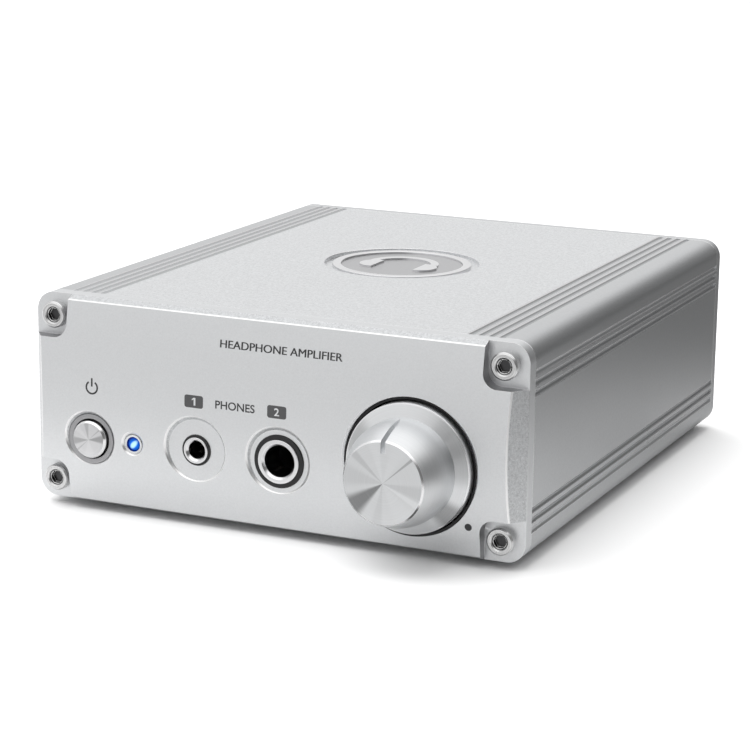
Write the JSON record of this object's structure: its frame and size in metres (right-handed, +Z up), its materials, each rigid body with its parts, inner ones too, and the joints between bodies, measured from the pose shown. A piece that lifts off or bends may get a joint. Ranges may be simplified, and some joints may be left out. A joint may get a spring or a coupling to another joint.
{
  "type": "headphone amplifier",
  "caption": "Small headphone amplifier with a silver sleeve case, curved front panel, recessed turning volume knob, push power button, lamp and headphone sockets.",
  "frame": {"origin": "middle of the outer box, on the surface that the rubber feet stand on", "axes": "+Z up, the front panel and knob face -Y, the power button is at -X"},
  "size_m": [0.11, 0.1492, 0.0455],
  "materials": {
    "badge_bright": "diamond-turned bright",
    "badge_satin": "fine brushed",
    "bezel_grey": "satin",
    "bezel_silver": "polished",
    "board_green": "solder mask over glass cloth",
    "button_aluminium": "spun with a bright edge",
    "can_sleeve": "heat-shrunk sleeve",
    "chip_black": "moulded",
    "contact_metal": "spring metal",
    "control_case": "plated",
    "dark_steel": "black oxide",
    "film_red": "dipped",
    "foot_rubber": "matt",
    "insulator_white": "moulded",
    "knob_aluminium": "spun satin with a radial sheen",
    "lamp_blue": "emissive, clear blue",
    "panel_aluminium": "satin, clear anodised, fine grain",
    "phono_gold": "gold plated",
    "plated_brass": "nickel plated",
    "rear_aluminium": "satin anodised",
    "relay_plastic": "moulded",
    "screw_steel": "satin nickel",
    "shaft_aluminium": "turned",
    "sleeve_aluminium": "fine bead-blasted, clear anodised",
    "socket_black": "moulded",
    "socket_body_black": "moulded",
    "socket_chrome": "plated",
    "switch_plastic": "moulded",
    "tinned_wire": "tinned",
    "well_black": "matt"
  },
  "bodies": {
    "case": {"amplifier_chip_1": "chip_black", "amplifier_chip_2": "chip_black", "badge_plate": "badge_satin", "badge_ring": "badge_bright", "board_pillars": "plated_brass", "board_screws": "screw_steel", "button_bezel": "bezel_grey", "case_sleeve": "sleeve_aluminium", "film_capacitor_1": "film_red", "film_capacitor_2": "film_red", "front_panel": "panel_aluminium", "front_screws": "screw_steel", "heat_bracket": "rear_aluminium", "inlet_body": "socket_body_black", "inlet_pin": "contact_metal", "input_block": "socket_body_black", "knob_well": "well_black", "lamp_bezel": "bezel_silver", "lamp_leads": "tinned_wire", "lamp_lens": "lamp_blue", "large_socket_body": "socket_body_black", "large_socket_collar": "socket_black", "large_socket_contacts": "contact_metal", "large_socket_ferrule": "socket_chrome", "main_board": "board_green", "muting_relay": "relay_plastic", "output_block": "socket_body_black", "output_transistor_1": "chip_black", "output_transistor_2": "chip_black", "phono_contacts": "phono_gold", "phono_insulators": "insulator_white", "phono_shell_1": "phono_gold", "phono_shell_2": "phono_gold", "phono_shell_3": "phono_gold", "phono_shell_4": "phono_gold", "power_switch_body": "switch_plastic", "rear_panel": "rear_aluminium", "rear_screws": "screw_steel", "reservoir_capacitor_1": "can_sleeve", "reservoir_capacitor_2": "can_sleeve", "reservoir_capacitor_3": "can_sleeve", "reservoir_capacitor_4": "can_sleeve", "rubber_feet": "foot_rubber", "small_socket_body": "socket_body_black", "small_socket_collar": "socket_black", "small_socket_contacts": "contact_metal", "small_socket_ferrule": "socket_chrome", "volume_control_body": "control_case", "volume_control_bush": "plated_brass", "volume_control_nut": "plated_brass", "volume_control_washer": "plated_brass"},
    "knob": {"volume_knob": "knob_aluminium", "knob_grub_screw": "dark_steel", "volume_control_shaft": "shaft_aluminium"},
    "button": {"power_button": "button_aluminium", "switch_plunger": "switch_plastic"}
  },
  "joints": [
    {"name": "volume_turn", "type": "hinge", "parent": "case", "child": "knob", "pos_m": [0.0317, -0.06535, 0.0191], "axis": [0, 1, 0], "range_deg": [-150, 150]},
    {"name": "power_press", "type": "slide", "parent": "case", "child": "button", "axis": [0, 1, 0], "range_m": [0, 0.0015], "stiffness_N_per_m": 600, "springref_m": -0.001}
  ]
}
